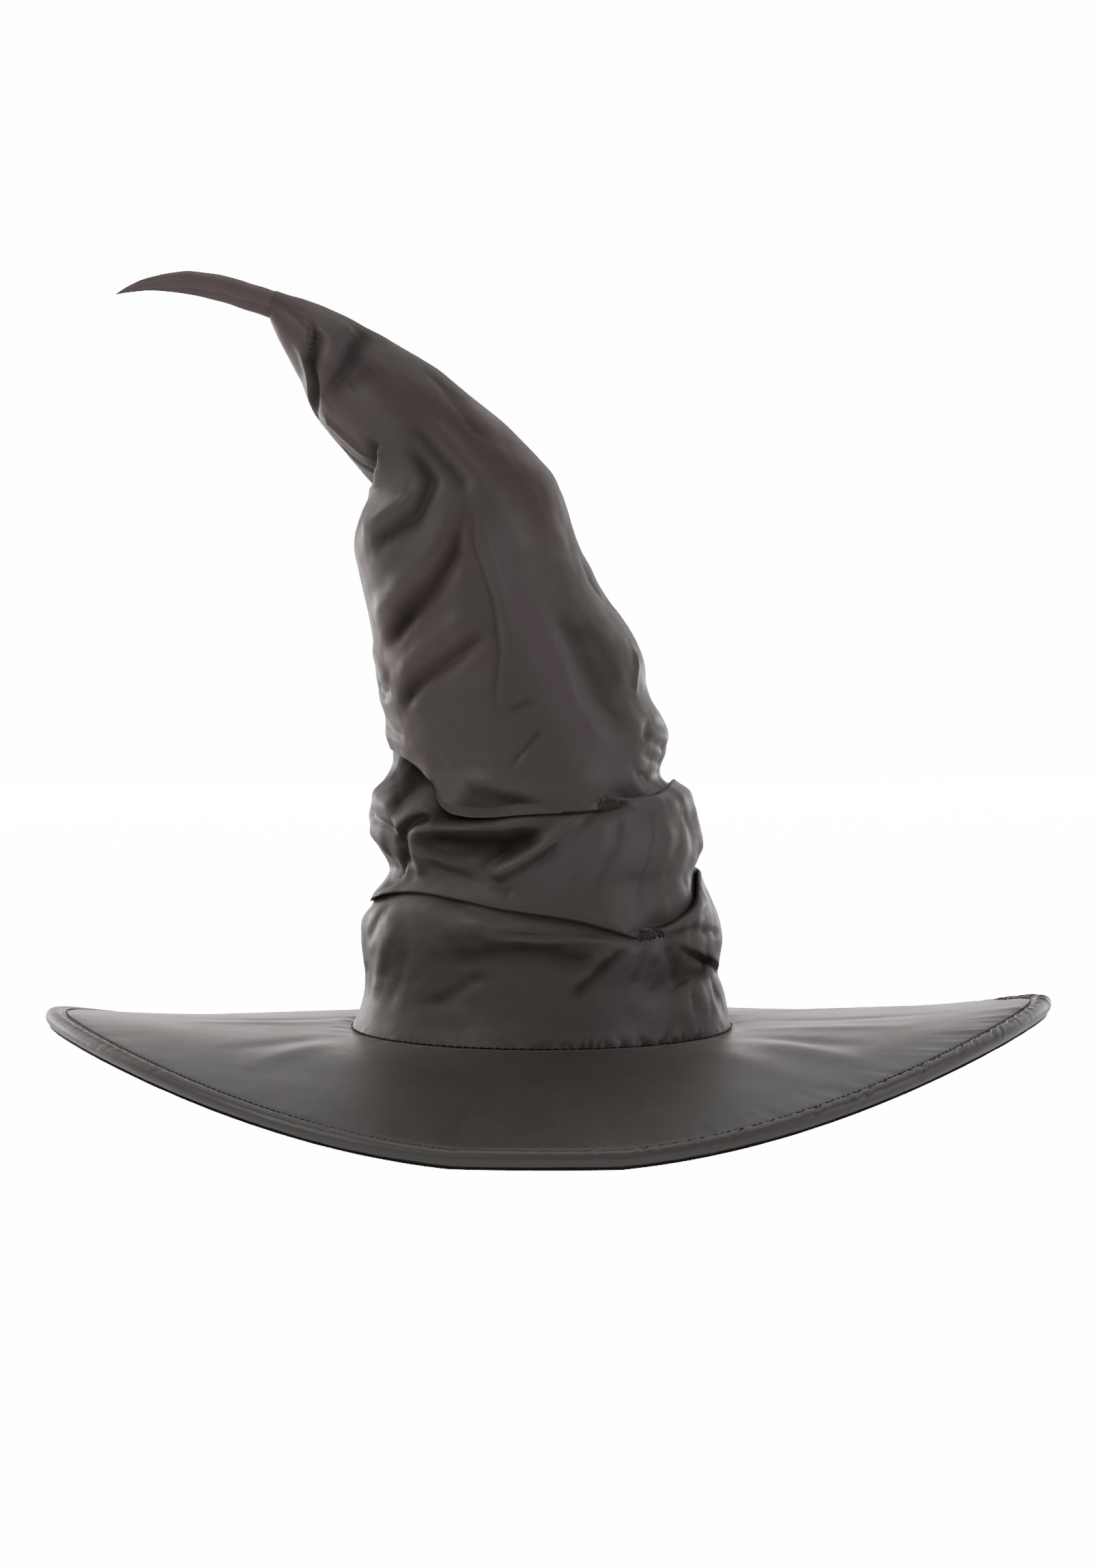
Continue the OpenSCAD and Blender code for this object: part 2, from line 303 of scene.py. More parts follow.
def satin(name, shades, roughness, crinkle, wear, sheen=0.04, shine=0.34, casts=()):
    """Black taffeta with a faint two-tone cast, fine ribs and small creases.

    crinkle is the strength of the creases, wear how much the roughness wanders, and shine
    the gloss of open cloth, which fades with the painted shade in the folds.
    """
    material, tree, shader, place = new_material(name)
    at, cloth = place["Object"], place["UV"]
    patches = plus(tree, noise(tree, at, 9.0, 2.0), noise(tree, at, 160.0, 4.0), 0.18)
    colour = ramp(tree, patches, shades)
    # The casts lay painted sheen, painted light and painted shade over the colour.
    for attribute, cast in casts:
        colour = cast_over(tree, colour, attribute, cast)
    worn = ramp(tree, noise(tree, at, 60.0, 5.0), [
        (0.35, (roughness - wear,) * 3), (0.65, (roughness + wear,) * 3)])
    slubs = noise(tree, cloth, 900.0, 2.0)
    threads = plus(tree, weave_waves(tree, cloth, "Y", RIBS_PER_METRE), slubs, 0.8)
    creases = bump(tree, noise(tree, at, 75.0, 3.0, 0.6), crinkle, 0.0012)
    weave = bump(tree, threads, 0.16, 0.00012)
    settle(weave, Normal=creases.outputs["Normal"])
    # Gloss fades where the painted shade lies.
    open_cloth = maths(tree, "SUBTRACT", 1.0, piece_value(tree, "fold_shade"))
    settle(shader, Base_Color=colour, Roughness=worn, Normal=weave.outputs["Normal"],
           Sheen_Weight=sheen, Sheen_Roughness=0.3, Sheen_Tint=(1.0, 0.88, 0.86, 1),
           Anisotropic=0.3, Specular_IOR_Level=shine)
    settle(shader, Specular_IOR_Level=maths(tree, "MULTIPLY", open_cloth, shine))
    return material


# Colours of the satin along its slow patches: place on the ramp and colour.
CROWN_SHADES = [
    (0.34, (0.050, 0.039, 0.033)), (0.48, (0.048, 0.040, 0.033)),
    (0.60, (0.045, 0.039, 0.033)), (0.76, (0.051, 0.040, 0.037))]
# Painted light: the horn's copy of the black satin is lighter and pinker, as the thin tip shows backlit.
HORN_PAINTED_LIGHT_SHADES = [
    (0.34, (0.088, 0.057, 0.053)), (0.54, (0.081, 0.055, 0.052)), (0.76, (0.075, 0.054, 0.054))]
BRIM_SHADES = [
    (0.34, (0.015, 0.011, 0.008)), (0.54, (0.016, 0.012, 0.009)), (0.76, (0.018, 0.0125, 0.011))]
# Colours laid over the satin where a piece carries the value of that name: painted sheen, painted light
# towards the horn's colour, and painted shade.
CASTS = [("red_sheen_and_shade", (0.056, 0.036, 0.032)), ("purple_sheen", (0.062, 0.047, 0.050)),
         ("tip_painted_light", (0.081, 0.055, 0.052)), ("fold_shade", (0.010, 0.007, 0.006))]
# Painted shade on the brim, in its groove and puckers.
BRIM_CASTS = [("fold_shade", (0.006, 0.005, 0.004))]


def matt_cloth(name, dark, light, ribs_per_metre, depth, roughness=0.85):
    """Lining, ribbon, felt and tape: plain threads with a soft unevenness."""
    material, tree, shader, place = new_material(name)
    at = place["Object"]
    uneven = noise(tree, at, 120.0, 4.0)
    across = weave_waves(tree, at, "Z", ribs_per_metre)
    threads = maths(tree, "ADD", across, noise(tree, at, 1500.0, 3.0))
    settle(shader, Base_Color=ramp(tree, uneven, [(0.3, dark), (0.7, light)]),
           Normal=bump(tree, threads, 0.5, depth).outputs["Normal"],
           Roughness=roughness, Sheen_Weight=0.2)
    return material


def streaked(name, scale, detail, dark, light, strength, depth, roughness, metallic=0.0):
    """Thread or wire: fine streaks that colour it and stand up a little."""
    material, tree, shader, place = new_material(name)
    streaks = noise(tree, place["Object"], scale, detail)
    settle(shader, Base_Color=ramp(tree, streaks, [(0.3, dark), (0.7, light)]),
           Normal=bump(tree, streaks, strength, depth).outputs["Normal"],
           Roughness=roughness, Metallic=metallic)
    return material


SATIN = satin("black_taffeta", CROWN_SHADES, roughness=0.46, crinkle=0.14, wear=0.05, shine=0.32,
              casts=CASTS)
HORN_PAINTED_LIGHT_SATIN = satin("black_taffeta_horn_painted_light", HORN_PAINTED_LIGHT_SHADES, roughness=0.46, crinkle=0.14, wear=0.05)
BRIM_SATIN = satin("black_taffeta_brim", BRIM_SHADES, roughness=0.41, crinkle=0.015, wear=0.02,
                   sheen=0.2, shine=0.62, casts=BRIM_CASTS)
FELT = matt_cloth("needled_felt", (0.07, 0.07, 0.075), (0.12, 0.12, 0.125), 500, 0.0003)
LINING = matt_cloth("lining_cloth", (0.022, 0.022, 0.026), (0.04, 0.04, 0.045), 2200, 0.00008,
                    roughness=0.6)
RIBBON = matt_cloth("grosgrain", (0.018, 0.018, 0.02), (0.034, 0.034, 0.037), 900, 0.0003)
TAPE = matt_cloth("woven_tape", (0.26, 0.25, 0.24), (0.38, 0.37, 0.36), 1500, 0.0001)
THREAD = streaked("spun_thread", 2600.0, 2.0, (0.008, 0.008, 0.009), (0.022, 0.021, 0.022),
                  0.6, 0.0001, roughness=0.7)
WIRE = streaked("drawn_wire", 700.0, 4.0, (0.42, 0.42, 0.44), (0.62, 0.62, 0.63),
                0.2, 0.00005, roughness=0.35, metallic=1.0)

# ---- brim

BRIM_SWEEP = 20.0  # half of how far the sides stand above front and back
BRIM_SWING = 12.0  # lifts the front quarters and lowers the back ones
BRIM_TILT = 3.0  # lifts the right side and lowers the left
FLAT_LIFT = 1.5  # a lift below this lies flat on the surface
COVER_END = ROLL_R + 0.3  # how far inside the edge the covers end
COVER_RISE = 1.45  # of each cover from the middle of the brim


def edge_lift(a):
    """Lift of the brim's edge at an azimuth a from +X, in radians."""
    lift = (BRIM_SWEEP * (1 + np.cos(2 * a)) - BRIM_SWING * np.sin(2 * a) * np.cos(a)
            + BRIM_TILT * np.cos(a) - FLAT_LIFT)
    return np.maximum(0, lift)


def edge_radius(a):
    return BRIM_R - 2 * np.sin(a) ** 2


def brim_point(a, t, dz):
    """A point of the brim at an azimuth and a share of the way out, raised by dz."""
    r = HOLE_R + (edge_radius(a) - COVER_END - HOLE_R) * t
    edge = ROLL_Z + edge_lift(a)
    z = MID_Z + (edge - MID_Z) * np.maximum(t, 0) ** 1.3 + dz
    return turned(r, a, z, CROWN_X * (1 - t))


# Long soft folds across the top cover: from and to (azimuth in degrees from +X, share of the
# way from the seam to the edge), height in millimetres and half width of the fold.
TOP_FOLDS = [
    (-38, 0.28, -46, 0.78, 1.3, 9), (-30, 0.18, -38, 0.62, -1.0, 8), (-50, 0.3, -55, 0.8, 0.7, 10),
    (-12, 0.10, -24, 0.62, 0.8, 9), (4, 0.16, -12, 0.70, -0.7, 8),
    (218, 0.28, 226, 0.70, 1.1, 8), (209, 0.18, 217, 0.60, -0.9, 8),
    (176, 0.08, 190, 0.55, 0.7, 8), (168, 0.12, 183, 0.52, -0.6, 7),
    (30, 0.2, 24, 0.8, 0.6, 10), (140, 0.2, 152, 0.8, 0.6, 10)]


def brim_radius(t):
    return HOLE_R + (BRIM_R - HOLE_R) * t


def brim_folds(a, t):
    """Height of the long folds at an azimuth and a share of the way out."""
    x, y, _ = np.moveaxis(turned(brim_radius(t), a, 0), -1, 0)
    total = np.zeros_like(x)
    for a0, t0, a1, t1, height, width in TOP_FOLDS:
        x0, y0, _ = turned(brim_radius(t0), math.radians(a0), 0)
        x1, y1, _ = turned(brim_radius(t1), math.radians(a1), 0)
        dx, dy = x1 - x0, y1 - y0
        s = np.clip(((x - x0) * dx + (y - y0) * dy) / (dx**2 + dy**2), 0, 1)
        off = np.hypot(x - x0 - s * dx, y - y0 - s * dy)
        total += height * hill(off, 0, width) * np.sin(math.pi * (0.12 + 0.76 * s))
    return total


def brim_grid(columns, across):
    """Azimuths and the values across, as two grids of one row per value across."""
    return np.meshgrid(once_round(columns), across)


def brim_sheet(name, sign):
    """One cover of the brim, with the soft waves and pulls of stretched satin.

    sign is 1 for the top cover and -1 for the one underneath.
    """
    rise = COVER_RISE * sign
    a, t = brim_grid(1080, np.linspace(-0.012, 1.012, 56))
    x, y = BRIM_R * t * np.cos(a), BRIM_R * t * np.sin(a)
    broad = Waves(60, 150, 12)(x * 0.5, y, 400 * sign)
    edge_x, edge_y = BRIM_R * np.cos(a), BRIM_R * np.sin(a)
    right = smooth(-0.1, 0.9, np.cos(a))
    tight = Waves(5, 13, 30)(edge_x, edge_y, 14 * t) * smooth(0.84 - 0.08 * right, 1.0, t)
    loose = Waves(15, 38, 12)(edge_x, edge_y, 60 * t) * smooth(0.72, 1.0, t)
    edge_pulls = (0.06 + 0.26 * right) * tight + (0.12 + 0.25 * right) * loose
    seam_pulls = Waves(8, 20, 20)(edge_x * 0.45, edge_y * 0.45, 30 * t) * (1 - smooth(0.0, 0.14, t))
    held = smooth(0, 0.05, t) * (1 - smooth(0.965, 1.0, t))
    dz = rise + sign * (0.34 * broad * held + edge_pulls * (1 - smooth(0.985, 1.0, t))
                        + 0.22 * seam_pulls * smooth(0.0, 0.02, t) + 0.45 * held)
    if sign > 0:
        loft = dz + (0.5 + brim_folds(a, t)) * held
        dz = np.where((t > 0) & (t < 1), np.maximum(loft, rise - 0.03), loft)
    r = brim_radius(t)
    cover = add_grid(name, brim_point(a, t, dz)[:, ::sign], BRIM_SATIN,
                     uv=((r * a * MM)[:, ::sign], (r * MM)[:, ::sign]))
    # Painted shade along the groove by the roll and in the valleys of the pulls by the edge.
    groove_shade = 0.85 * smooth(0.983, 0.994, t) + 0.12 * np.maximum(-tight, 0) * (0.3 + right)
    write_attribute(cover, "fold_shade", np.clip(groove_shade, 0, 0.9)[:, ::sign])
    return cover


brim_top = brim_sheet("brim_top_satin", 1)
brim_under = brim_sheet("brim_under_satin", -1)


ROLL_OPEN = 165  # degrees that the roll's satin turns to each side
PUCKERS = 197


def brim_roll():
    """The rolled edge, twisted a little so that its satin lies in slanting puckers."""
    a, b = brim_grid(1900, np.linspace(-ROLL_OPEN, ROLL_OPEN, 26))
    arc = a * BRIM_R
    right = smooth(-0.2, 0.8, np.cos(a))
    edge_x, edge_y = BRIM_R * np.cos(a), BRIM_R * np.sin(a)
    slow = Waves(40, 120, 8)(edge_x, edge_y, 0)
    free = smooth(0, 30, ROLL_OPEN - np.abs(b))
    r = ROLL_R + free * (0.07 * Waves(5, 13, 20)(edge_x, edge_y, 0.10 * b) + 0.12 * slow)
    around = 2 * math.pi * BRIM_R
    # Painted shade where the roll turns into the groove and in the valleys of the puckers.
    shade = 0.8 * smooth(136, 162, b)
    for start in np.cumsum(RNG.uniform(4.5, 11, PUCKERS)):
        slant, width = RNG.uniform(0.03, 0.09), RNG.uniform(1.0, 1.9)
        depth, reach = RNG.uniform(0.35, 1.15), RNG.uniform(80, 210)
        off = (arc - start + slant * (150 - b) + around / 2) % around - around / 2
        valley = hill(off, 0, width) - 0.55 * hill(off, 1.9 * width, width)
        pucker = (0.25 + 0.95 * right) * depth * valley * free * smooth(150 - reach, 150, b)
        r -= pucker
        shade += 0.6 * np.maximum(pucker, 0)
        r -= 0.30 * depth * valley * free * (1 - smooth(-150, -90, b))
    rad = np.radians(b)
    xyz = turned(edge_radius(a) + r * np.cos(rad), a, ROLL_Z + edge_lift(a) + r * np.sin(rad))
    roll_satin = add_grid("brim_roll_satin", xyz, BRIM_SATIN, uv=(arc * MM, b * 0.07 * MM))
    write_attribute(roll_satin, "fold_shade", np.clip(shade, 0, 0.9))
    return roll_satin


WELT_WIDTH = 0.011  # metres, before it is folded


def brim_welt():
    """The narrow folded strip that shows as a second line under the roll."""
    a, t = brim_grid(900, np.linspace(0.03, 0.97, 14))
    turn = math.pi + t * 2 * math.pi
    wave = Waves(9, 24, 18)(BRIM_R * np.cos(a), BRIM_R * np.sin(a), 0)
    across = 2.6 * np.sign(np.cos(turn)) * np.abs(np.cos(turn)) ** 0.6
    up = 0.52 * np.sin(turn)
    xyz = turned(edge_radius(a) - 0.4 + across + 0.12 * wave, a, edge_lift(a) + 0.56 + up)
    return add_grid("brim_welt_satin", xyz, BRIM_SATIN, uv=(a * BRIM_R * MM, t * WELT_WIDTH))


def stitches(name, path, length, gap, radius, sink):
    """Separate stitches along a closed path [n, 3]; each dips into the cloth at its ends."""
    steps = np.linalg.norm(np.roll(path, -1, 0) - path, axis=1)
    along = np.concatenate([[0], np.cumsum(steps)])
    around = np.vstack([path, path[:1]])
    count = int(along[-1] / (length + gap))
    pitch = along[-1] / count
    points, faces = [], []
    rings = 5
    b = once_round(THREAD_SIDES)[None, :, None]
    dip = np.array([1, 0.25, 0, 0.25, 1])[:, None, None] * sink
    r = np.array([0.6, 1, 1, 1, 0.6])[:, None, None] * radius
    for k in range(count):
        s = (k + 0.5) * pitch + np.linspace(-length / 2, length / 2, rings)
        centre = np.stack([np.interp(s, along, around[:, i]) for i in range(3)], -1)
        ahead = centre[-1] - centre[0]
        ahead /= np.linalg.norm(ahead)
        side = np.cross(ahead, [0, 0, 1])
        side /= np.linalg.norm(side)
        up = np.cross(side, ahead)
        ring = side * np.cos(b) + up * np.sin(b)
        points.append(centre[:, None] - dip * up + ring * r)
        first = k * rings * THREAD_SIDES
        faces += [tuple(first + i for i in face) for face in rod_faces(rings, THREAD_SIDES)]
    return add_mesh(name, points, faces, THREAD)


# ---- crown: its rings

# Opposite points of the crown's outline, left and right: x and height. The last value is the
# half depth, front to back. The rings lean with the peak.
RINGS = [
    (-98, 0, 91, 0, 94.4), (-94, 9, 89.5, 9, 91.8), (-91.4, 18, 87.6, 18, 90),
    (-90.6, 28, 84.6, 28, 88.6), (-91, 36, 86, 36, 88.2), (-91.6, 44, 87, 44, 88.2),
    (-91.4, 53, 85.6, 53, 88), (-90, 60, 82.6, 60, 87.4), (-87, 66, 80, 66, 86.4),
    (-82.6, 72, 77, 72, 85.4), (-79.4, 78, 75, 78, 84.8), (-81, 84, 76, 84, 84.8),
    (-84.6, 90, 76.4, 90, 85), (-88, 98, 75.4, 98, 85), (-89.6, 106, 73.2, 106, 84.4),
    (-88.4, 112, 72.4, 112, 83), (-86, 118, 69, 118, 80.6), (-82.4, 122, 63, 122, 78),
    (-79, 127, 59, 127, 75), (-77, 131, 58, 131, 73.4), (-78, 139, 58.4, 139, 72),
    (-80, 147, 59.6, 147, 71), (-81.4, 155, 56.4, 155, 70), (-84, 163, 51.6, 163, 69),
    (-85.4, 171, 48.8, 171, 68), (-86.4, 180, 47.8, 180, 67), (-87.2, 192, 44, 192, 65.4),
    (-89, 204, 36.2, 204, 63.6), (-91.4, 216, 27.4, 216, 61.6), (-94, 228, 21, 228, 59.4),
    (-96, 237, 15.8, 237, 57.4), (-95.6, 247, 12, 247.4, 55), (-92.4, 257, 9, 258, 52.4),
    (-89, 264, 6, 267, 50.4), (-87.4, 269, 1.6, 275.6, 48.6), (-92, 275.6, -5, 283, 46.4),
    (-99, 283.6, -15, 293, 43.4), (-106, 292, -27, 304.6, 39.6), (-112, 300, -41, 315.6, 35.6),
    (-117.2, 308, -56, 327, 31.4), (-121.4, 318, -72, 337.4, 26.6), (-125.4, 326, -87, 346, 22),
    (-128.8, 333, -100, 352.6, 18), (-131.8, 338.6, -111, 357.4, 14.6),
    (-134.4, 343.4, -120.6, 360.8, 11.6), (-136.6, 348, -129.6, 363.4, 9),
    (-138.6, 352.4, -138.4, 366.6, 7.4)]


def ring_heights():
    """Mean height of each ring."""
    return np.array([(ring[1] + ring[3]) / 2 for ring in RINGS])


def ring_at(height):
    """Left and right points and depth of the ring at a mean height."""
    heights = ring_heights()
    return [through(height, [(h, ring[i]) for h, ring in zip(heights, RINGS)]) for i in range(5)]


def on_ring(height, angle, out):
    """A point on the ring at a height and an angle from the front, moved outwards."""
    lx, lz, rx, rz, depth = ring_at(height)
    cx, cz = (lx + rx) / 2, (lz + rz) / 2
    wx, wz = (rx - lx) / 2, (rz - lz) / 2
    width = np.hypot(wx, wz)
    a = np.radians(angle)
    nx, ny = np.sin(a) / width, -np.cos(a) / depth
    size = np.hypot(nx, ny)
    nx, ny = nx / size, ny / size
    x = cx + wx * np.sin(a) + out * nx * wx / width
    y = -depth * np.cos(a) + out * ny
    z = cz + wz * np.sin(a) + out * nx * wz / width
    return np.stack([x, y, z + SEAM_Z], -1)


# ---- crown: its tucks

# Visible line of each tuck: angle and height. Between its tacks and the left side the upper
# cloth hangs over the lower; to the right the lower cloth stands out as a collar.
LOWER_LINE = [
    (-180, 68), (-150, 66), (-120, 62), (-90, 64), (-78, 67), (-67, 70.5), (-48, 73), (-28, 71),
    (-14, 67.4), (-4, 65.6), (12, 61.6), (24, 56), (30, 53.4), (36, 52.6), (42, 54), (49, 57),
    (58, 61), (69, 68), (84, 76), (100, 77), (125, 70), (155, 66), (180, 68)]
UPPER_LINE = [
    (-180, 120), (-150, 124), (-120, 134), (-90, 142), (-72, 141), (-56, 136), (-46, 131),
    (-39, 126), (-35.5, 120), (-31, 115.6), (-24, 113.4), (-16, 113.2), (-4, 114.6), (10, 115.6),
    (21, 116), (31, 116), (40, 117), (53, 118.6), (66, 120.6), (80, 122.6), (92, 122), (110, 119),
    (140, 116), (180, 120)]
# Angle by each tuck's tack at which the overhang changes sides.
LOWER_TACK = 34.0
UPPER_TACK = 31.0


def overhang(angle, tack):
    """1 where the upper cloth hangs over the lower, 0 where the lower stands out."""
    return np.where(angle > 120, smooth(150, 180, angle), 1 - smooth(tack - 9, tack + 9, angle))


# Rows of the cloth from the foot to the end of the peak.
BASE_ROWS, FOLD_ROWS, BAND_ROWS, CONE_ROWS = 62, 9, 46, 176


def crown_rows(angle):
    """Height, set-in and part of each row of the crown's cloth, and the two tucks' lines.

    The cloth runs up the base, back down inside the lower tuck, up the band, back down
    inside the upper tuck, and up the cone to the end of the peak.
    """
    low = through(angle, LOWER_LINE)
    top = through(angle, UPPER_LINE)
    over_low = overhang(angle, LOWER_TACK)
    over_top = overhang(angle, UPPER_TACK) * 0.8
    near_low = hill(angle, LOWER_TACK + 3, 7)
    near_top = hill(angle, UPPER_TACK, 8)
    soft_lip = hill(angle, -17, 19)
    rise_low = 1.5 + 7 * over_low
    drop_low = 1.5 + 5 * (1 - over_low) * (1 - 0.7 * near_low)
    rise_top = 1.5 + 6 * over_top * (1 - 0.8 * soft_lip)
    drop_top = 1.5 + 10 * (1 - over_top) * (1 - 0.7 * near_top)
    heights, sets, parts = [], [], []

    def add(part, rows, h0, h1, s0=0, s1=0):
        for k in range(rows):
            t = k / rows
            e = smooth(0, 1, t) if part == "fold" else t
            heights.append(h0 + (h1 - h0) * e)
            sets.append(np.zeros_like(angle) + s0 + (s1 - s0) * e)
            parts.append(part)

    in_low = -3.6 * over_low - 0.6
    in_band = -2.6 * (1 - over_low) - 0.4 * over_low
    hollow = 5.5 * hill(angle, -18, 24) + 9.0 * hill(angle, -52, 13)
    hollow_tall = 10 + 7 * hill(angle, -51, 14)
    in_band_top = (-3.0 - hollow) * over_top + 1.4 * (1 - over_top)
    in_cone = -4.5 * (1 - over_top)
    add("base", BASE_ROWS, 0, low + rise_low)
    add("fold", FOLD_ROWS, low + rise_low, low - drop_low, in_low, in_band)
    add("band", BAND_ROWS, low - drop_low, top + rise_top)
    add("fold", FOLD_ROWS, top + rise_top, top - drop_top, in_band_top, in_cone)
    add("cone", CONE_ROWS, top - drop_top, ring_heights()[-1])
    height, set_in = np.array(heights), np.array(sets)
    for k, part in enumerate(parts):
        past_low, past_top = height[k] - low, height[k] - top
        if part == "base":
            set_in[k] = (in_low * smooth(-11, 3, past_low)
                         + 1.6 * (1 - over_low) * hill(past_low, 0, 6))
        elif part == "band":
            set_in[k] = (in_band * (1 - smooth(0, 15, past_low))
                         + 0.9 * over_low * hill(past_low, 2, 5)
                         + in_band_top * smooth(0, 1, past_top / hollow_tall + 1))
        elif part == "cone":
            set_in[k] = (in_cone * (1 - smooth(0, 16, past_top))
                         + 2.0 * over_top * (1 - soft_lip) * hill(past_top, 3, 7)
                         - 6.0 * over_top * soft_lip * (1 - smooth(-2, 19, past_top)))
    return height, set_in, np.array(parts), low, top


# ---- crown: its creases

def nearest_on(angle, height, points):
    """Distance to a line of (angle, height) points, its sign, and how far along it is."""
    mm_per_degree = 1.4
    px = angle * mm_per_degree
    best = np.full(px.shape, 1e9)
    side = np.zeros(px.shape)
    at = np.zeros(px.shape)
    flat = [(a * mm_per_degree, h) for a, h in points]
    lengths = [math.dist(a, b) for a, b in zip(flat[:-1], flat[1:])]
    run = 0.0
    for (x0, y0), (x1, y1), length in zip(flat[:-1], flat[1:], lengths):
        dx, dy = x1 - x0, y1 - y0
        ex, ey = px - x0, height - y0
        t = np.clip((ex * dx + ey * dy) / length**2, 0, 1)
        d = np.hypot(ex - t * dx, ey - t * dy)
        closer = d < best
        best = np.where(closer, d, best)
        side = np.where(closer, np.sign(dx * ey - dy * ex), side)
        at = np.where(closer, (run + t * length) / sum(lengths), at)
        run += length
    return best, side, at


def ends_fade(at):
    return 0.2 + 0.8 * smooth(0, 0.2, at) * (1 - smooth(0.8, 1, at))


def crease(angle, height, points, width):
    """A soft valley or ridge along a line: 1 on it and 0 far away."""
    d, _, at = nearest_on(angle, height, points)
    return hill(d, 0, width) * ends_fade(at)


def fold_edge(angle, height, points, width, rise, drop):
    """A folded edge: the left-hand side of the line stands up over the right-hand side."""
    d, side, at = nearest_on(angle, height, points)
    step = np.tanh(d * side / 0.8)
    size = np.where(step > 0, rise * hill(d, 0, 1.3 * width), drop * hill(d, 0, width))
    return step * size * ends_fade(at)


CREASE_SIZE = 0.75  # of the depths below, as made
CREASE_SHADE = 0.16  # painted shade for each millimetre of depth, less on ridges
FOLD_SHADE = 0.14  # painted shade for each millimetre of drop beside a folded edge

# Creases on each part of the cloth: depth (a ridge is more than 0), half width and line.
BASE_CREASES = [
    (-2.2, 5, [(-34, 40), (-22, 42), (-14, 44), (-1, 45), (10, 41), (20, 36)]),
    (1.4, 5, [(-36, 56), (-18, 56), (2, 57)]), (-1.1, 3.2, [(-40, 17), (-33, 21), (-24, 30), (-16, 36)]),
    (-1.7, 2.2, [(28, 49), (24, 43), (16, 31), (8, 20)]), (1.1, 2.6, [(22, 47), (15, 38), (8, 28)]),
    (-1.2, 2, [(33, 47), (32, 38), (30, 27)]), (0.9, 2.2, [(37, 48), (38, 36), (37, 24)]),
    (-1, 2, [(41, 47), (45, 36), (48, 25)]), (-1.6, 2.4, [(40, 51), (57, 53), (78, 48)]),
    (1.8, 4, [(48, 60), (60, 62), (76, 66)]), (-1, 1.7, [(43, 21), (49, 25), (55, 27)]),
    (-1, 1.7, [(55, 22), (54, 12)]), (-2.2, 4.2, [(-64, 69), (-64, 61), (-69, 52), (-76, 44)]),
    (1.6, 6, [(-57, 66), (-56, 53), (-62, 39), (-68, 25), (-70, 14)]),
    (-0.8, 5, [(-48, 60), (-48, 44), (-54, 26), (-60, 10)]), (1.8, 7, [(-88, 58), (-84, 45), (-80, 28)]),
    (-1.3, 4, [(74, 30), (72, 18), (76, 8)]), (-1.4, 5, [(170, 50), (140, 40), (110, 44)]),
    (-1.4, 5, [(-170, 30), (-140, 40), (-110, 34)])]
BAND_CREASES = [
    (-4.6, 4, [(5, 106), (0, 102), (-10, 98), (-22, 97), (-34, 98), (-44, 97)]),
    (-2.4, 3.4, [(-4, 96), (-16, 92), (-34, 91), (-48, 95)]),
    (2.8, 3, [(-52, 101), (-42, 102), (-30, 104), (-15, 107), (4, 110)]),
    (2.8, 3.4, [(20, 112), (8, 100), (-5, 90), (-16, 83), (-18, 79), (-14, 75)]),
    (-2.2, 2.4, [(24, 112), (12, 102), (4, 93), (-6, 85)]),
    (-2, 2.6, [(6, 106), (-4, 97), (-10, 94), (-24, 84)]),
    (1.3, 3.4, [(29, 111), (22, 98), (12, 86), (4, 77)]),
    (-1.1, 2.2, [(33, 111), (29, 98), (22, 84), (16, 72)]), (-1.8, 2.4, [(-20, 82), (-17, 77), (-10, 73)]),
    (-0.8, 1.5, [(45, 113), (46, 103), (38, 82), (34, 62)]),
    (0.6, 4, [(51, 112), (53, 100), (47, 82), (41, 66)]),
    (-0.9, 4.4, [(66, 114), (70, 100), (66, 84), (56, 68)]), (1.6, 5, [(80, 112), (82, 98), (80, 86)]),
    (-3.6, 3, [(-88, 109), (-78, 107), (-66, 105), (-58, 103), (-53, 98)]),
    (-3.6, 2.8, [(-53, 99), (-54, 91), (-58, 84)]), (3, 5, [(-84, 98), (-74, 95), (-65, 91)]),
    (3, 5.5, [(-88, 121), (-72, 118), (-60, 114), (-54, 109)]),
    (-2.4, 3.4, [(-86, 81), (-72, 83), (-62, 82)]), (1.8, 3.4, [(-50, 93), (-49, 86), (-52, 79)]),
    (-1.4, 3, [(-44, 86), (-34, 82), (-24, 79)]), (-2.2, 4, [(150, 104), (130, 94), (110, 90)]),
    (2, 5, [(175, 96), (150, 88), (120, 84)]), (-2.2, 4, [(-175, 98), (-150, 90), (-120, 92)]),
    (2, 5, [(-170, 110), (-140, 104), (-115, 108)])]
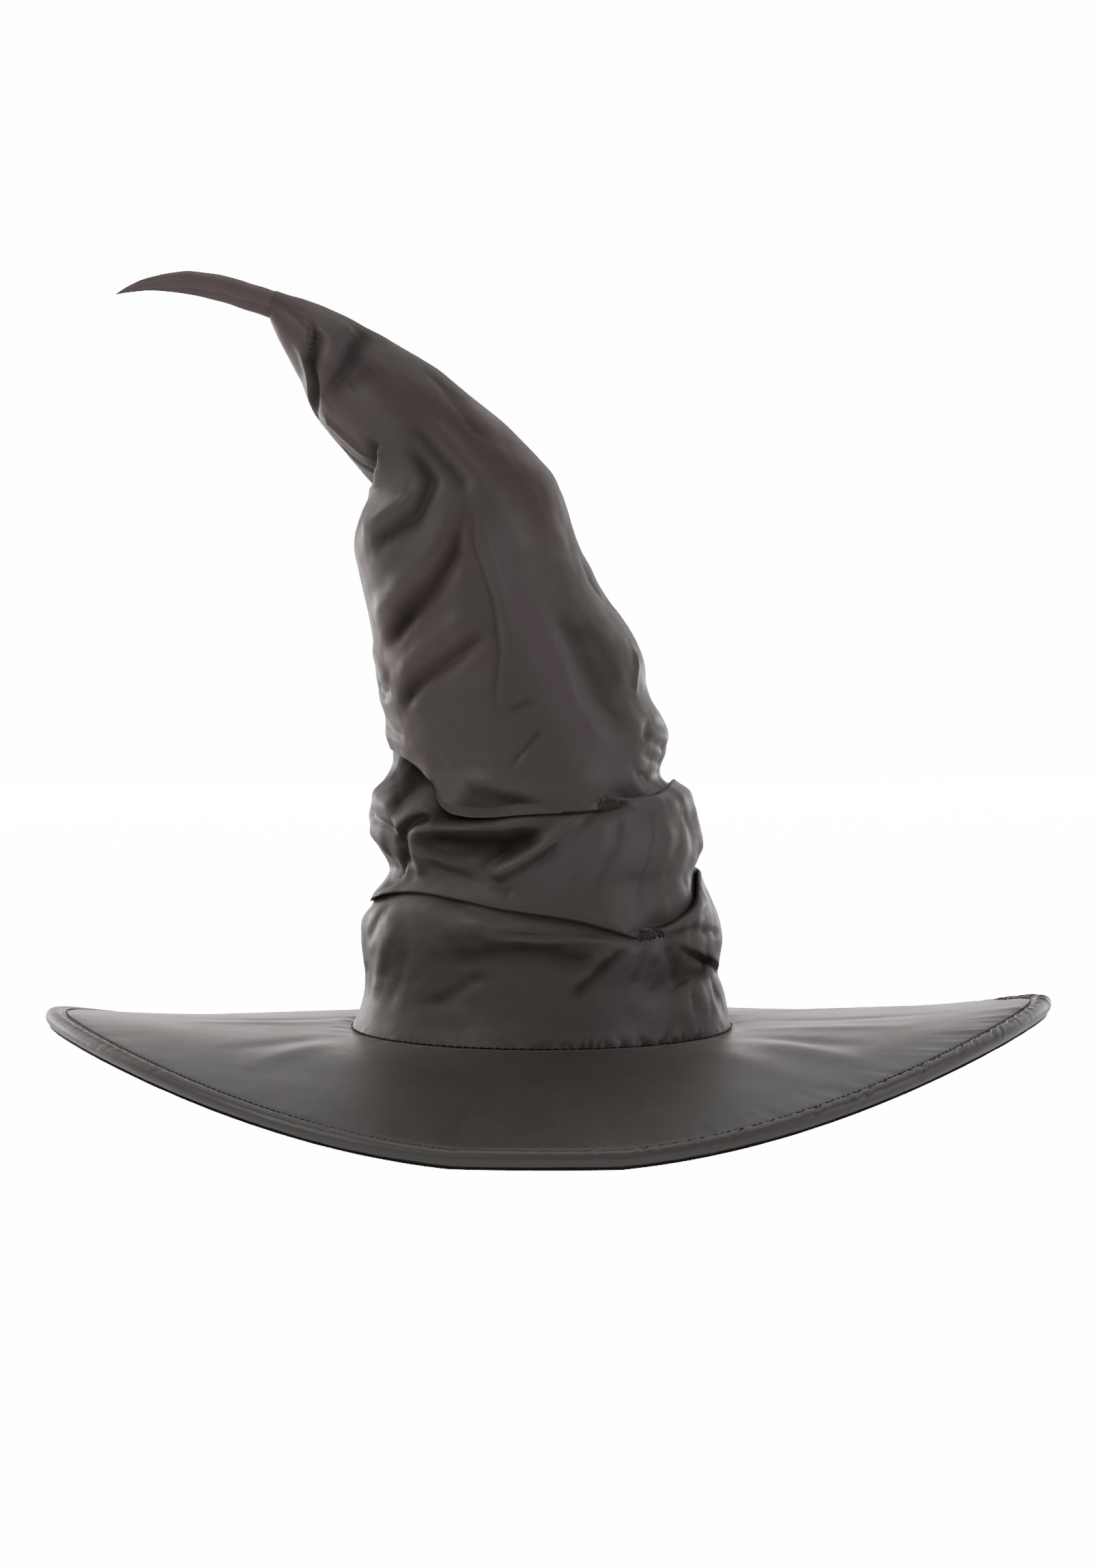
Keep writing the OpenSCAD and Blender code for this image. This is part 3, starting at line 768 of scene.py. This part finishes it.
CONE_CREASES = [
    (-1.8, 3.4, [(-27, 124), (-16, 121), (-4, 118), (8, 117)]),
    (1.6, 3.4, [(-26, 129), (-12, 125), (4, 122), (18, 121)]),
    (-3.6, 6.5, [(-8, 290), (-16, 280), (-21, 269), (-26, 254), (-40, 246), (-58, 240)]),
    (3, 5.5, [(-30, 272), (-38, 262), (-52, 254), (-70, 250)]),
    (-4, 5.2, [(2, 256), (-5, 237), (-23, 220), (-49, 200), (-66, 189)]),
    (2.6, 5.5, [(-10, 250), (-16, 238), (-32, 226), (-54, 212), (-72, 204)]),
    (-3, 4.4, [(-4, 200), (-19, 189), (-35, 178), (-50, 166), (-58, 158)]),
    (2, 4.6, [(-10, 207), (-24, 198), (-40, 188), (-56, 176)]),
    (-1.3, 1.7, [(7, 260), (5, 242), (4, 215), (-1, 198), (-8, 162), (-5, 158)]),
    (1.1, 3.6, [(11, 256), (11, 228), (6, 206), (0, 180)]), (-1.5, 1.8, [(9, 166), (3, 164), (-4, 161)]),
    (-1.6, 1.8, [(7, 153), (0, 144), (-7, 135)]), (-2.2, 8, [(33, 212), (33, 187), (42, 164), (43, 146)]),
    (2, 7, [(24, 214), (22, 190), (27, 165), (30, 142)]), (2, 3, [(72, 190), (69, 182), (63, 168)]),
    (1.8, 8, [(22, 303), (12, 284), (10, 266), (24, 250), (36, 240)]),
    (-2, 7, [(2, 300), (-1, 280), (2, 264)]), (-1.3, 3.4, [(92, 210), (75, 212), (69, 223), (76, 235)]),
    (-1.7, 3, [(90, 149), (63, 153), (52, 145)]), (-1, 2, [(52, 148), (60, 145), (80, 138)]),
    (-1.4, 2, [(52, 139), (62, 136), (90, 130)]), (-0.9, 2, [(46, 136), (54, 128), (64, 126)]),
    (-2.2, 3.4, [(-86, 172), (-74, 167), (-62, 170)]), (-1.8, 3.4, [(-88, 156), (-72, 149), (-58, 146)]),
    (1.8, 5, [(-88, 190), (-74, 181), (-62, 172)]),
    (-3.4, 4.2, [(70, 336), (40, 334), (21, 333), (-14, 326), (-46, 319)]),
    (2.2, 4.6, [(60, 342), (16, 340), (-16, 334), (-40, 327)]),
    (-1.6, 3.6, [(20, 324), (7, 323), (-20, 320)]),
    (2.6, 4.4, [(-66, 310), (-60, 302), (-54, 292), (-52, 286)]),
    (-2.2, 2.6, [(-80, 296), (-70, 286), (-62, 279)]), (-1.6, 6, [(60, 316), (44, 300), (34, 288)]),
    (-2.2, 7, [(-150, 160), (-140, 190), (-150, 220), (-160, 250)]),
    (-2, 6, [(-110, 180), (-125, 205), (-120, 232)]), (2, 6, [(-100, 200), (-112, 222), (-108, 246)]),
    (-2.2, 6, [(120, 150), (140, 175), (150, 200), (140, 230)]),
    (2, 8, [(165, 140), (172, 180), (168, 220)]), (-2.4, 5, [(180, 262), (150, 258), (120, 250)]),
    (-2, 5, [(-180, 290), (-150, 296), (-120, 290)])]

# Each folded edge: the part, its width, how far it stands up and drops, and its line.
FOLD_EDGES = [
    ("band", 4.0, 1.6, 4.0, [(-55, 98), (-50, 104), (-44, 109), (-36, 112)]),
    ("band", 3.6, 1.4, 2.6, [(-56, 88), (-60, 80), (-66, 74), (-76, 69)]),
    ("base", 3.2, 1.0, 1.4, [(27, 52), (11, 53), (0, 52), (-14, 53)]),
    ("base", 3.4, 1.0, 0.9, [(46, 48), (52, 43), (61, 38), (75, 33), (90, 26)]),
    ("cone", 4.2, 0.8, 0.8, [(70, 334), (30, 331), (7, 328), (-26, 324), (-50, 317)]),
    ("cone", 4.4, 2.2, 4.4, [(-80, 314), (-54, 327), (-38, 337), (-12, 342), (18, 347)]),
    ("cone", 5.0, 2.6, 4.6, [(-28, 294), (-36, 290), (-44, 284), (-66, 275), (-90, 270)])]


# Painted sheen where the taffeta's shifting colour shows redder or more purple; the red also lies as
# painted shade along crease valleys: half width and line.
RED_SHEEN_AND_SHADE = [
    (26, [(10, 335), (20, 300), (50, 290)]), (18, [(60, 300), (60, 262)]),
    (11, [(24, 273), (42, 259), (50, 246)]), (16, [(-30, 320), (-60, 300)]),
    (9, [(0, 246), (-14, 228), (-33, 213), (-57, 196)]), (9, [(-10, 194), (-26, 185), (-46, 173)]),
    (12, [(-60, 172), (-62, 150), (-58, 135)]), (9, [(80, 212), (84, 190)]),
    (9, [(-40, 355), (-54, 342), (-60, 328)]), (12, [(-90, 357), (0, 357), (90, 357)]),
    (9, [(-68, 240), (-72, 200), (-68, 170)])]
PURPLE_SHEEN = [
    (14, [(20, 240), (16, 228), (16, 186), (26, 151), (35, 131), (44, 124)]),
    (13, [(38, 103), (30, 98), (16, 89), (5, 82)]), (11, [(38, 92), (34, 65)]),
    (13, [(36, 49), (36, 36), (27, 19), (24, 6)]), (9, [(52, 64), (60, 73)]),
    (9, [(24, 342), (28, 335), (-10, 330)])]
# Patches of painted shade, added to the fold shade: the part, half width, strength and line.
PAINTED_SHADE_PATCHES = [
    ("cone", 20, 0.26, [(18, 318), (30, 292), (46, 262), (50, 240)]),
    ("cone", 15, 0.30, [(-42, 240), (-50, 200), (-52, 150)]),
    ("band", 9, 0.55, [(64, 124), (64, 100)]),
    ("base", 11, 0.65, [(70, 44), (68, 24), (74, 10)]), ("base", 8, 0.4, [(58, 50), (66, 30)]),
    ("band", 9, 1.1, [(-78, 132), (-66, 128), (-58, 122), (-48, 114)]),
    ("band", 7, 0.7, [(-40, 108), (-24, 110), (-8, 111)]),
    ("cone", 7, 0.45, [(-30, 117), (-16, 116), (2, 117)]),
    ("cone", 9, 0.35, [(40, 205), (46, 186), (52, 168)])]


# Most painted shade that the crown takes, less towards the peak.
DARKEST = 0.85


def crown_cloth():
    """The crown's cloth in one piece: its tucks, creases, folded edges and fine crumple."""
    angles = angles_round(300)
    height, set_in, parts, low, top = crown_rows(angles)
    angle = np.broadcast_to(angles, height.shape)
    out = set_in.copy()
    rows_of = {part: parts == part for part in ("base", "band", "cone")}
    base, band, cone = [rows[:, None] for rows in rows_of.values()]
    # Painted shade, written as fold_shade: darker in creases and beside folded edges, under the tucks'
    # lips, in the collars' pockets and in the gathers at the foot.
    shade = np.zeros(height.shape)
    for part, creases in (("base", BASE_CREASES), ("band", BAND_CREASES), ("cone", CONE_CREASES)):
        rows = rows_of[part]
        for depth, width, line in creases:
            on_crease = depth * crease(angle[rows], height[rows], line, width)
            out[rows] += CREASE_SIZE * on_crease
            shade[rows] -= CREASE_SHADE * on_crease
    for part, width, rise, drop, line in FOLD_EDGES:
        rows = rows_of[part]
        step = fold_edge(angle[rows], height[rows], line, width, rise, drop)
        out[rows] += step
        shade[rows] += FOLD_SHADE * np.maximum(-step, 0)
    for part, width, strength, line in PAINTED_SHADE_PATCHES:
        rows = rows_of[part]
        shade[rows] += strength * crease(angle[rows], height[rows], line, width)
    past_low, past_top = height - low, height - top
    over_low, over_top = overhang(angle, LOWER_TACK), overhang(angle, UPPER_TACK)
    shade += base * 0.5 * over_low * smooth(-8, 1, past_low)
    shade += band * 0.35 * (1 - over_low) * (1 - smooth(1, 12, past_low))
    shade += band * 0.5 * over_top * smooth(-10, 1, past_top)
    shade += cone * 0.6 * (1 - over_top) * (1 - smooth(1, 12, past_top))
    x, y, z = np.moveaxis(on_ring(height, angle, 0), -1, 0)
    broad = Waves(45, 110, 16)(x, y, z)
    middle = Waves(14, 36, 30)(x, y, z * 0.8)
    fine = Waves(5, 13, 40)(x, y, z)
    foot = smooth(0, 14, height)
    crinkled = 0.45 + 0.55 * (hill(height, 60, 26) + hill(height, 118, 30))
    out += foot * (0.6 * broad + 0.16 * middle * crinkled + 0.08 * fine * crinkled)
    crumple = np.abs(Waves(26, 70, 9)(x, y, z)) + 0.6 * np.abs(Waves(14, 34, 9)(x, y, z))
    out += foot * (0.35 + 0.35 * crinkled) * crumple
    gathers = Waves(4.5, 9, 26)(x, y, 0.4 * z)
    front_right = 0.2 + 0.8 * smooth(-8, 15, angle) * (1 - smooth(46, 62, angle))
    out += 1.6 * np.abs(gathers) * hill(height, 1.0, 4.5) * front_right
    shade += 0.8 * (1 - smooth(0.0, 0.35, np.abs(gathers))) * hill(height, 0, 4.0) * front_right
    rays_low = np.sin(np.radians(angle - LOWER_TACK) * 28)
    rays_top = np.sin(np.radians(angle - UPPER_TACK) * 26)
    out += 0.55 * rays_low * hill(angle, LOWER_TACK, 13) * hill(past_low, -7, 9)
    out += 0.45 * rays_top * hill(angle, UPPER_TACK, 12) * hill(past_top, -6, 8)
    out -= 1.5 * hill(angle, LOWER_TACK + 3, 6) * hill(past_low, 0, 5)
    out -= 1.6 * hill(angle, UPPER_TACK + 1, 7) * hill(past_top, 0, 5)
    deepest = -0.3 - 1.1 * smooth(10, 30, height)
    out = np.where(base, np.maximum(out, deepest), out)
    xyz = on_ring(height, angle, out)
    cloth = add_grid("crown_cloth", xyz, SATIN, uv=(angle * 1.5 * MM, height * MM))
    wander = 5 * Waves(18, 60, 16)(x, y, z)
    # Painted sheen, the red also painted shade along the creases.
    for attribute, patches in (("red_sheen_and_shade", RED_SHEEN_AND_SHADE), ("purple_sheen", PURPLE_SHEEN)):
        away = [(nearest_on(angle, height, line)[0] + wander) / width for width, line in patches]
        write_attribute(cloth, attribute, 1 - smooth(0.1, 1.9, np.min(away, axis=0)))
    # Painted light: the crown's end blends towards the horn's lighter colour.
    write_attribute(cloth, "tip_painted_light", smooth(50, 110, np.abs(angle)) * smooth(330, 362, height))
    write_attribute(cloth, "fold_shade",
                    np.clip(shade, 0, DARKEST - 0.3 * smooth(290, 330, height)))
    return cloth


crown = crown_cloth()

# ---- horn-shaped tip

# The tip's middle line and radius: x, height above the seam, radius.
HORN = [(-116, 343, 6.0), (-124, 350, 6.6), (-134, 357.6, 7.0), (-150, 363, 6.7),
        (-165, 367.5, 6.6), (-180, 369.5, 5.7), (-196, 369, 3.8), (-207, 366.5, 1.9),
        (-214, 364, 0.35)]


def horn_cloth():
    """The curved tip, rolled from one narrow piece, with two creases that wind along it."""
    columns, rows = 72, 130
    s = np.linspace(0, len(HORN) - 1, rows)
    x, z, r = [through(s, list(enumerate(column))) for column in zip(*HORN)]
    dx, dz = np.gradient(x), np.gradient(z)
    length = np.hypot(dx, dz)
    flip = np.where(dx > 0, -1, 1) / length
    up_x, up_z = (dz * flip)[:, None], (-dx * flip)[:, None]
    a = once_round(columns)[None, :]
    run = np.cumsum(length)[:, None]
    turn = a + 0.7 * np.sin(run / 40)
    first = -0.26 * hill((a - 0.35 - run / 150) % (2 * math.pi), math.pi, 0.30)
    second = -0.12 * hill((a - 2.4 + run / 120) % (2 * math.pi), math.pi, 0.28)
    wobble = 0.045 * Waves(9, 24, 18)(7 * np.cos(turn), 7 * np.sin(turn), run)
    thick = r[:, None] * (1 + first + second + wobble)
    up = thick * np.sin(a)
    xyz = np.stack([x[:, None] + up_x * up, thick * np.cos(a), z[:, None] + up_z * up + SEAM_Z], -1)
    return add_grid("horn_cloth", xyz, HORN_PAINTED_LIGHT_SATIN, uv=(a * r[:, None] * MM, run * MM + 0 * a))


horn = horn_cloth()

# ---- edge of the brim, and stitching

roll = brim_roll()
welt = brim_welt()

STITCH_ANGLES = once_round(1440)
STITCH_ROW = 0.987  # the row's share of the way out
SEAM_ROW_R = BASE_R + 0.7

edge_path = brim_point(STITCH_ANGLES, STITCH_ROW, 2.55)
top_stitches = stitches("brim_top_stitches", edge_path, 2.3, 0.9, 0.3, 0.35)
seam_path = turned(SEAM_ROW_R, STITCH_ANGLES, SEAM_Z + 0.5, CROWN_X)
seam_stitches = stitches("crown_seam_stitches", seam_path, 2.6, 1.4, 0.3, 0.3)


def tack(name, angle, height, count, spread):
    """Hand stitches across a tuck, with two loose thread ends."""
    threads = []
    for k in range(count):
        a = angle + (k - (count - 1) / 2) * spread + RNG.uniform(-0.4, 0.4)
        lean = RNG.uniform(-1.6, 1.6)
        hs = height + np.array([-2.3, -1.2, 0, 1.2, 2.3]) + RNG.uniform(-0.5, 0.5)
        lifts = np.array([-0.6, 0.3, 0.6, 0.3, -0.6]) - 0.4
        path = on_ring(hs, a + lean * np.linspace(-0.5, 0.5, 5), lifts)
        threads.append(add_thread(f"{name}_{k}", path, 0.3))
    for side in (-1, 1):
        t = np.linspace(0, 1, 12)
        a = angle + side * 2 + side * 6 * t + 1.5 * np.sin(5 * t + side)
        hs = height + 1 - side * 2.5 * t + 2.0 * np.sin(4 * t)
        threads.append(add_thread(f"{name}_end{side}", on_ring(hs, a, 0.3 + 1.8 * t), 0.16))
    return joined(name, threads)


lower_tack = tack("lower_tack_threads", LOWER_TACK + 3, 52.5, 9, 1.1)
upper_tack = tack("upper_tack_threads", UPPER_TACK, 115.5, 10, 1.4)

# ---- inside of the crown

# Heights at which the lining follows the crown, then its own radius and height above them.
LINING_HEIGHTS = [-2.5, 0, 5, 10, 15, 20, 26, 32, 38]
LINING_PROFILE = [
    (84.4, 44), (82.2, 48), (77.0, 62), (71.0, 70), (68.8, 76), (68.8, 88), (69.8, 100), (63, 109),
    (57, 116.4), (52, 118), (30, 118.4), (2, 118.6), (0.5, 118.6)]
HEAD_R = 85


def lining_sheet():
    """The lining follows the crown's foot, then closes over the head."""
    angles = angles_round(260)
    low = [on_ring(max(h, 0), angles, -3.1) + [0, 0, min(h, 0)] for h in LINING_HEIGHTS]
    s = np.linspace(0, len(LINING_PROFILE) - 1, 80)[:, None]
    radius, high = [np.interp(s, range(len(LINING_PROFILE)), column)
                    for column in zip(*LINING_PROFILE)]
    a = np.radians(angles)
    folds = 0.22 * Waves(10, 40, 16)(HEAD_R * np.cos(a), HEAD_R * np.sin(a), high)
    xyz = np.concatenate([low, turned(radius + folds, a - math.pi / 2, SEAM_Z + high, CROWN_X)])
    arc = np.broadcast_to(a * HEAD_R * MM, xyz.shape[:2])
    return add_grid("lining_cloth", xyz, LINING, uv=(arc, xyz[..., 2] * MM))


def felt_band():
    """The crown's stiffening band between cloth and lining, 0.9 mm thick."""
    angles = angles_round(240)
    heights = [0.3, 5, 10, 15, 20, 26, 32, 39]
    outer = [on_ring(h, angles, -1.9) for h in heights]
    inner = [on_ring(h, angles, -2.8) for h in reversed(heights)]
    return add_grid("crown_felt", np.array(outer + inner), FELT, solid=True)


def label_tape():
    """A blank woven tape, sewn to the lining at the back and folded over at its ends."""
    lo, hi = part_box("size_label")
    x, z = np.meshgrid(np.linspace(lo.x, hi.x, 40) / MM, np.linspace(lo.z, hi.z, 28) / MM)
    across = (x - x.mean()) / (x.max() - x.min()) * 2
    y = hi.y / MM - 0.3 - 0.7 * np.abs(across) ** 6 + 0.25 * Waves(9, 22, 8)(x, 0, z)
    bowed = y - 0.0035 * (x - CROWN_X) ** 2
    xyz = np.stack([x, bowed, z], -1)
    return add_grid("size_label_tape", xyz, TAPE, False, uv=(x * MM, z * MM))


def sweatband_sheet():
    """The ribbon round the head opening, a thin closed wall."""
    lo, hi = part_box("sweatband")
    base = lo.z / MM - SEAM_Z
    tall = (hi.z - lo.z) / MM
    inner = (hi.x - lo.x) / 2 / MM - 0.55
    section = [(inner + 0.45, base), (inner + 0.1, base - 0.1)]
    section += [(inner, base + 0.4 + (tall - 0.8) * k / 24) for k in range(25)]
    section += [(inner + 0.1, base + tall + 0.1), (inner + 0.5, base + tall)]
    section += [(inner + 0.5, base + tall - tall * k / 6) for k in range(1, 6)]
    r, h = np.array(section).T[:, :, None]
    a = once_round(420)
    return add_grid("sweatband_ribbon", turned(r, a, SEAM_Z + h, CROWN_X), RIBBON,
                    uv=(a * r * MM, h * MM + 0 * a), solid=True)


lining = lining_sheet()
sweatband = sweatband_sheet()
felt = felt_band()
label = label_tape()

# ---- frame pieces that stay

NODE_MATERIALS = {
    "brim_core": FELT, "brim_edge_cord": FELT,
    "brim_wire": WIRE, "brim_wire_ferrule": WIRE, "crown_wire": WIRE, "peak_wire": WIRE,
    "tip_wire": WIRE, "wire_anchor": WIRE, "wire_tip_eye": WIRE, "wire_loops": LINING,
    "sweatband_stitching": THREAD}


def dress_nodes():
    """Gives the CAD pieces that stay their materials."""
    for name, material in NODE_MATERIALS.items():
        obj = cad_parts[name]
        obj.data.materials.clear()
        obj.data.materials.append(material)


dress_nodes()

# ---- what rides on what

# Each piece's slot and the frame pieces that it stands for.
PIECES = {
    brim_top: ("black_satin", "brim_top_cover"), brim_under: ("black_satin", "brim_underside"),
    roll: ("black_satin", "brim_edge_roll"), welt: ("black_satin", "brim_edge_facing"),
    top_stitches: ("thread", "brim_topstitch"), seam_stitches: ("thread", "crown_seam_stitching"),
    lower_tack: ("thread", "lower_tacks"), upper_tack: ("thread", "upper_tacks"),
    crown: ("black_satin", "crown_base", "lower_tuck", "crown_band", "upper_tuck", "cone",
            "cone_bend", "peak"), horn: ("black_satin", "tip_bend", "tip"),
    lining: ("lining", "crown_lining", "lining_top"), sweatband: ("sweatband_ribbon", "sweatband"),
    felt: ("brim_foam", "crown_stiffener"), label: ("label_tape", "size_label")}

for piece, (slot_name, *nodes) in PIECES.items():
    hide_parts(*nodes)
    if piece not in (crown, horn):
        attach(piece, "hat")
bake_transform(crown)
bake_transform(horn)

# ---- stage

SEEN_GLOW = 14.0  # what makes floor and backdrop white to the eye
FLOOR_LIGHT = 0.65
ROOM_LIGHT = 0.30
ROOM_SHINE = 0.5  # what more the cloth mirrors of the room
FLOOR_HALF = 30000


def stage_floor():
    """A pale floor that is brighter to the eye than the light that it gives off."""
    material, tree, shader, _ = new_material("pale_floor")
    seen = tree.nodes.new("ShaderNodeLightPath").outputs["Is Camera Ray"]
    settle(shader, Base_Color=(0.9, 0.9, 0.9, 1), Roughness=0.9, Emission_Color=(1, 1, 1, 1),
           Emission_Strength=plus(tree, FLOOR_LIGHT, seen, SEEN_GLOW))
    corners = [(x * FLOOR_HALF, y * FLOOR_HALF, 0) for x, y in ((-1, -1), (1, -1), (1, 1), (-1, 1))]
    add_mesh("floor", corners, [(0, 1, 2, 3)], material)


def turn_to(obj, place, target):
    """Puts a light or the camera at a place, looking at a target."""
    obj.location = place
    obj.rotation_euler = (Vector(target) - Vector(place)).to_track_quat("-Z", "Y").to_euler()
    bpy.context.collection.objects.link(obj)


def area_light(name, place, target, size, power, colour=(1, 1, 1)):
    data = bpy.data.lights.new(name, "AREA")
    data.shape = "RECTANGLE"
    data.size, data.size_y = size
    data.energy = power
    data.color = colour
    obj = bpy.data.objects.new(name, data)
    obj.visible_camera = False
    turn_to(obj, place, target)


def studio():
    """Soft panels round the hat, and a pale room."""
    middle = (-0.03, 0, 0.2)
    area_light("key_left", (-1.6, -1.2, 1.4), middle, (0.9, 1.4), 14)
    area_light("fill_right", (1.9, -0.7, 0.9), middle, (0.8, 1.4), 8.3)
    area_light("back_left", (-1.5, 1.2, 0.7), middle, (1.2, 1.6), 10, (1, 0.92, 0.89))
    area_light("back_right", (1.3, 1.7, 0.8), middle, (1.2, 1.6), 5)
    area_light("back_low", (-0.3, 2.4, 0.10), (0, 0, 0.04), (4.8, 0.5), 50, (1, 0.91, 0.89))
    area_light("top", (0, 0.3, 2.2), middle, (1.6, 1.6), 8)
    world = bpy.data.worlds.new("studio")
    world.use_nodes = True
    tree = world.node_tree
    ray = tree.nodes.new("ShaderNodeLightPath").outputs
    seen = plus(tree, ROOM_LIGHT, ray["Is Camera Ray"], SEEN_GLOW)
    settle(tree.nodes["Background"], Color=(1, 1, 1, 1),
           Strength=plus(tree, seen, ray["Is Glossy Ray"], ROOM_SHINE))
    bpy.context.scene.world = world


def camera():
    data = bpy.data.cameras.new("camera")
    data.sensor_width = 36
    data.lens = 95.96
    obj = bpy.data.objects.new("camera", data)
    turn_to(obj, (0, -2.080, 0.290), (0, 0, 0.156))
    bpy.context.scene.camera = obj


stage_floor()
studio()
camera()
